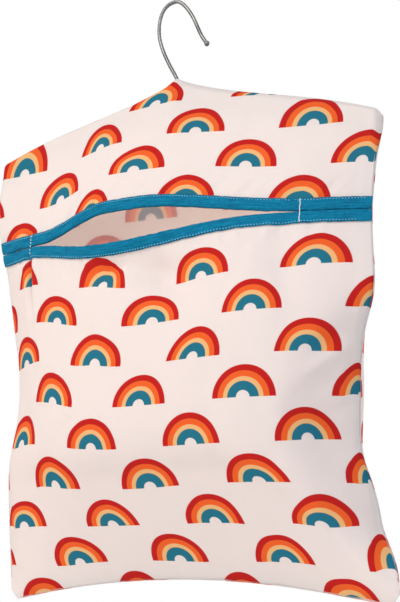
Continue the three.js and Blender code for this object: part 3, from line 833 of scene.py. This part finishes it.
def mouth_band(points):
    """The cloth under a tape in rows from the mouth's edge, and the ways out of it and off its edge."""
    band = from_edge(points, np.linspace(TAPE_IN, TAPE_WIDE, TAPE_ROWS))
    band = curve_through(band.swapaxes(0, 1), TAPE_FINER).swapaxes(0, 1)
    out = outward(band, 1)
    out *= np.where(out[..., 1:2] < 0, 1, -1)
    off_edge = band[0] - band[1]
    return band, out, off_edge / np.linalg.norm(off_edge, axis=-1, keepdims=True)


def run_along(line):
    return np.concatenate([[0], np.cumsum(np.linalg.norm(np.diff(line, axis=0), axis=1))])


def fold_tape(name, points, node, seed):
    band, out, off_edge = mouth_band(points)
    run = run_along(band[-1])
    drawn = np.abs(np.sin(np.pi * run / STITCH_STEP))
    slack = np.sin(run * 310 + seed) + 0.7 * np.sin(run * 830 + 2 * seed)
    outer, inner = TAPE_OFF, -CLOTH - TAPE_OFF
    last = TAPE_ROWS - 1
    rows = []
    for n in range(last, -1, -1):
        puff = LEAF_PUFF[n] + SLACK_PUFF * slack * (n > 0) + STITCH_PUFF[n] * (drawn - 0.5)
        rows.append(band[n] + out[n] * (outer + 0.001 * puff)[:, None])
    rows[0] = rows[0] - off_edge * (EDGE_DRAWN * drawn - EDGE_SLACK * slack)[:, None]
    turn = (TAPE_IN - TAPE / 2 - TAPE_SLIT * np.clip(1 + slack, 0, 2.5))[:, None]
    middle = (outer + inner) / 2
    for angle in (45, 90, 135):
        a = math.radians(angle)
        height = middle + (outer - middle) * math.cos(a)
        rows.append(band[0] + off_edge * turn * math.sin(a) + out[0] * height)
    for n in range(TAPE_ROWS):
        rows.append(band[n] + out[n] * inner)
    rows = np.array(rows)
    spread = run_from_edge(rows)
    bm = bmesh.new()
    grid = grid_mesh(bm, rows)
    lay_flat(bm, grid, np.stack([np.broadcast_to(run, spread.shape), spread], -1))
    piece = new_piece(name, bm, [tape_finish], "bag")
    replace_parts(piece, node)
    thicken(piece, TAPE, 0)


tape_finish = woven_tape()
upper_edge, lower_edge = mouth_edges["yoke"], mouth_edges["pocket"]
fold_tape("upper_tape", upper_edge, "upper_mouth_binding", 0.4)
fold_tape("lower_tape", lower_edge, "lower_mouth_binding", 1.7)


# Binding stitches: a machine row of pale thread along the outer edge of each tape.
# Each row goes through both leaves of the tape and the cloth between them.
STITCH_LONG, STITCH_THICK = 0.0014, 0.0008
STITCH_IN, STITCH_OUT = 0.0012, 0.0011  # from the tape's outer edge, and off the cloth
PALE_BLUE, SHADED_BLUE = (0.27, 0.52, 0.63), (0.07, 0.30, 0.43)


def sewing_thread(name, pale, shadow):
    made, shade, feed = new_finish(name, Specular_IOR_Level=0.3)
    place = shade.add("ShaderNodeTexCoord", output=3)
    twist = shade.math("SINE", (place.part(0) + place.part(2) * 0.8) * 16000.0) * 0.5 + 0.5
    fuzz = shade.noise(place, 900.0)
    colour = shade.mix(twist * 0.5 + fuzz * 0.4, shadow, pale)
    feed(Base_Color=colour, Roughness=0.6 + fuzz * 0.2, Normal=shade.bump(0.4, 0.0001, twist))
    return made


def at_run(line, places):
    run = run_along(line)
    return np.stack([np.interp(places, run, line[:, k]) for k in range(3)], -1)


def sew(bm, line, outs, places, long, thick):
    """A stitch at each distance along a line that lies on the cloth."""
    spots, tips = at_run(line, places), at_run(line + outs * 0.001, places)
    ways = at_run(line, places + 0.0005) - at_run(line, places - 0.0005)
    for spot, way, tip in zip(spots, ways, tips):
        way, up = Vector(way).normalized(), (Vector(tip) - Vector(spot)).normalized()
        side = up.cross(way).normalized()
        turn = Matrix((way, side, way.cross(side))).transposed().to_4x4()
        size = Matrix.Diagonal((long / 2, thick / 2, thick * 0.42, 1))
        at = Matrix.Translation(spot) @ turn @ size
        bmesh.ops.create_uvsphere(bm, u_segments=8, v_segments=5, radius=1, matrix=at)


tape_thread = sewing_thread("tape_thread", PALE_BLUE, SHADED_BLUE)
for name, points, node in (
    ("upper_tape_stitches", upper_edge, "upper_binding_stitching"),
    ("lower_tape_stitches", lower_edge, "lower_binding_stitching"),
):
    band, out, off_edge = mouth_band(points)
    line = band[-1] + off_edge * STITCH_IN + out[-1] * STITCH_OUT
    places = np.arange(2 * STITCH_STEP, run_along(band[-1])[-1] - STITCH_STEP, STITCH_STEP)
    bm = bmesh.new()
    sew(bm, line, out[-1], places, STITCH_LONG, STITCH_THICK)
    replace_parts(new_piece(name, bm, [tape_thread], "bag"), node)


# Tacks: a few hand stitches of white thread across both tapes, which close the mouth at each end.
# The left one is a row of separate stitches and the right one is sewn over into a solid bar.
TACK_THICK, TACK_OUT = 0.0007, 0.0013
TACK_START, TACK_END = 0.0012, 0.0008
WHITE, SHADED_WHITE = (0.88, 0.88, 0.86), (0.66, 0.67, 0.68)
tack_thread = sewing_thread("tack_thread", WHITE, SHADED_WHITE)
upper_band, upper_out, _ = mouth_band(upper_edge)
lower_band, lower_out, _ = mouth_band(lower_edge)
both_bands = np.concatenate([upper_band[::-1], lower_band])
both_outs = np.concatenate([upper_out[::-1], lower_out])
row_count, last = len(both_bands), both_bands.shape[1] - 1
for name, node, high_at, low_at, step, long in (  # ends across the bag, and the stitches' step and length
    ("left_tack", "left_mouth_tack", -0.753, -0.747, 0.0027, 0.0019),
    ("right_tack", "right_mouth_tack", 0.674, 0.685, 0.0020, 0.0030),
):
    high, low = round((high_at + 1) / 2 * last), round((low_at + 1) / 2 * last)
    picked = np.arange(row_count), np.linspace(high, low, row_count).round().astype(int)
    outs = both_outs[picked]
    line = both_bands[picked] + outs * TACK_OUT
    bm = bmesh.new()
    sew(bm, line, outs, np.arange(TACK_START, run_along(line)[-1] - TACK_END, step), long, TACK_THICK)
    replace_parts(new_piece(name, bm, [tack_thread], "bag"), node)


# Seam allowances: both panels' raw edges, overlocked together and turned into the bag.
# At the shoulders they are pressed open over the wood of the hanger.
SEAM_WIDE, SEAM_PLY = 0.008, 0.0004
FOLDED = [(0.0009, 0.0004), (0.0045, 0.0004), (SEAM_WIDE, 0.0004), (SEAM_WIDE + 0.0003, 0)]
FOLDED += [(into, -aside) for into, aside in FOLDED[2::-1]]
PRESSED_OPEN = [(0.0021, 0.0024), (0.0017, 0.0012), (0.0015, 0), (0.0017, -0.0012), (0.0021, -0.0024)]
SIDE_RUN, BOTTOM_RUN = slice(12, -6), slice(7, -7)  # rows and columns between the corners
FROM_SEAM, ABOVE_HEM = 24, 8  # columns and rows in from a seam, to where its allowance points
OVERLOCK_STEP = 0.0026
SEAM_COTTON, OVERLOCK_THREAD = (0.80, 0.70, 0.64), (0.90, 0.88, 0.85)


def overlocked_cotton():
    made, shade, feed = new_finish("overlocked_cotton", Specular_IOR_Level=0.2)
    cut = shade.add("ShaderNodeUVMap", {"uv_map": "cut"})
    along, across = cut.part(0), cut.part(1)
    fuzz = shade.noise(shade.add("ShaderNodeTexCoord", output=3), 700.0)
    loops = shade.math("SINE", (along + across * 0.35) * (2 * math.pi / OVERLOCK_STEP)) * 0.5 + 0.5
    colour = shade.mix(loops * 0.55, SEAM_COTTON, OVERLOCK_THREAD)
    bump = shade.bump(0.5, 0.0005, loops + fuzz * 0.4)
    feed(Base_Color=colour, Roughness=0.8 + fuzz * 0.15, Normal=bump)
    return made


def seam_strip(name, node, edge, inward, plies):
    """A strip on a line of points, with its section given as distances inward and to one side."""
    way = np.gradient(edge, axis=0)
    sideways = np.cross(way, inward)
    sideways /= np.linalg.norm(sideways, axis=1, keepdims=True)
    rows = np.array([edge + inward * into + sideways * aside for into, aside in plies])
    run = run_along(edge)
    spread = np.concatenate([[0], np.cumsum([math.dist(a, b) for a, b in zip(plies, plies[1:])])])
    bm = bmesh.new()
    grid = grid_mesh(bm, rows)
    lay_flat(bm, grid, np.stack(np.meshgrid(run, spread), -1))
    piece = new_piece(name, bm, [overlock], "bag")
    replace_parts(piece, node)
    thicken(piece, SEAM_PLY, 0)


def between_panels(front, back, edge):
    """The way into the bag from its edge, half way between the front and the back."""
    way = (front + back) / 2 - edge
    return way / np.linalg.norm(way, axis=-1, keepdims=True)


overlock = overlocked_cotton()
front_all = np.concatenate([panels["yoke"], panels["pocket"][1:]])
back_all = panels["back"]
for name, node, column, near in (
    ("left_seam", "left_side_seam", 0, FROM_SEAM),
    ("right_seam", "right_side_seam", -1, -1 - FROM_SEAM),
):
    edge = front_all[SIDE_RUN, column]
    inward = between_panels(front_all[SIDE_RUN, near], back_all[SIDE_RUN, near], edge)
    seam_strip(name, node, edge, inward, FOLDED)
edge = front_all[-1, BOTTOM_RUN]
inward = between_panels(front_all[-ABOVE_HEM, BOTTOM_RUN], back_all[-ABOVE_HEM, BOTTOM_RUN], edge)
seam_strip("bottom_seam_allowance", "bottom_seam", edge, inward, FOLDED)
for name, node, columns in (
    ("left_shoulder_allowance", "left_shoulder_seam", slice(6, 89)),
    ("right_shoulder_allowance", "right_shoulder_seam", slice(-89, -6)),
):
    edge = back_all[0, columns]
    down = np.broadcast_to(np.array([0.0, 0, -1]), edge.shape)
    seam_strip(name, node, edge, down, PRESSED_OPEN)


# Room: a plain pale floor well under the bag. A big soft lamp shines from the upper left in front, weak ones
# from the right and the lower left, and one from behind. The camera stands below the bag, to its right.
PHOTO_FOCUS, PHOTO_HIGH = 1150, 602  # focal length and height of the picture, in pixels
SENSOR = 36
CAMERA_TURN, CAMERA_RISE, CAMERA_ROLL = (math.radians(a) for a in (21, -9.5, -1.8))
CAMERA_FAR = 0.845
CAMERA_TARGET = Vector((0.012, 0, SHOULDER_PEAK - 0.172))
LAMP_TARGET = Vector((0, 0, -0.25))
LAMPS = [  # name, place, size, watts and colour
    ("key_lamp", (-0.4, -1.9, 1.35), 1.2, 35.5, (1.0, 0.97, 0.935)),
    ("fill_lamp", (1.6, -1.0, 0.2), 1.2, 4.5, (0.52, 0.70, 1.0)),
    ("low_lamp", (-1.2, -1.3, -0.5), 1.0, 10, (1.0, 0.85, 0.70)),
    ("back_lamp", (0.4, 1.8, 0.2), 1.6, 30, (1.0, 0.98, 0.96)),
]
AMBIENT, AMBIENT_STRENGTH = (0.79, 0.87, 0.98, 1), 0.66
FLOOR_HIGH, FLOOR_HALF = -0.62, 1.4

bm = bmesh.new()
floor_at = Matrix.Translation((0, 0, FLOOR_HIGH))
bmesh.ops.create_grid(bm, x_segments=1, y_segments=1, size=FLOOR_HALF, matrix=floor_at)
floor_mesh = bpy.data.meshes.new("floor")
bm.to_mesh(floor_mesh)
bm.free()
floor_finish, shade, feed = new_finish("pale_floor", Roughness=0.9)
speck = shade.noise(shade.add("ShaderNodeTexCoord", output=3), 30.0)
feed(Base_Color=shade.mix(speck, (0.80, 0.80, 0.80), (0.84, 0.84, 0.84)))
floor_mesh.materials.append(floor_finish)
floor = bpy.data.objects.new("floor", floor_mesh)
scene.collection.objects.link(floor)

back_way = Vector((
    math.sin(CAMERA_TURN) * math.cos(CAMERA_RISE),
    -math.cos(CAMERA_TURN) * math.cos(CAMERA_RISE),
    math.sin(CAMERA_RISE),
))
level = Vector((math.cos(CAMERA_TURN), math.sin(CAMERA_TURN), 0))
upright = back_way.cross(level)
right_way = math.cos(CAMERA_ROLL) * level + math.sin(CAMERA_ROLL) * upright
up_way = back_way.cross(right_way)
lens = bpy.data.cameras.new("camera")
lens.sensor_width = SENSOR
lens.lens = PHOTO_FOCUS / PHOTO_HIGH * SENSOR
camera = bpy.data.objects.new("camera", lens)
scene.collection.objects.link(camera)
turn = Matrix((right_way, up_way, back_way)).transposed().to_4x4()
camera.matrix_world = Matrix.Translation(CAMERA_TARGET + CAMERA_FAR * back_way) @ turn
scene.camera = camera

for name, place, size, watts, colour in LAMPS:
    lamp = bpy.data.lights.new(name, "AREA")
    lamp.shape = "DISK"
    lamp.size = size
    lamp.energy = watts
    lamp.color = colour
    lamp_object = bpy.data.objects.new(name, lamp)
    scene.collection.objects.link(lamp_object)
    aim = (LAMP_TARGET - Vector(place)).to_track_quat("-Z", "Y")
    lamp_object.matrix_world = Matrix.Translation(place) @ aim.to_matrix().to_4x4()

world = bpy.data.worlds.new("studio")
world.use_nodes = True
scene.world = world
studio = Shade(world.node_tree)
for node in list(world.node_tree.nodes):
    world.node_tree.nodes.remove(node)
seen = studio.add("ShaderNodeLightPath", output=0)
for output in (3, 6):
    seen = studio.math("MAXIMUM", seen, studio.add("ShaderNodeLightPath", output=output))
ambient = studio.add("ShaderNodeBackground", None, {"Color": AMBIENT, "Strength": AMBIENT_STRENGTH})
plain_white = studio.add("ShaderNodeBackground", None, {"Color": (1, 1, 1, 1), "Strength": 1.0})
sky = studio.add("ShaderNodeMixShader", None, {0: seen, 1: ambient, 2: plain_white})
output = world.node_tree.nodes.new("ShaderNodeOutputWorld")
world.node_tree.links.new(sky.socket, output.inputs[0])
scene.view_settings.view_transform = "Standard"
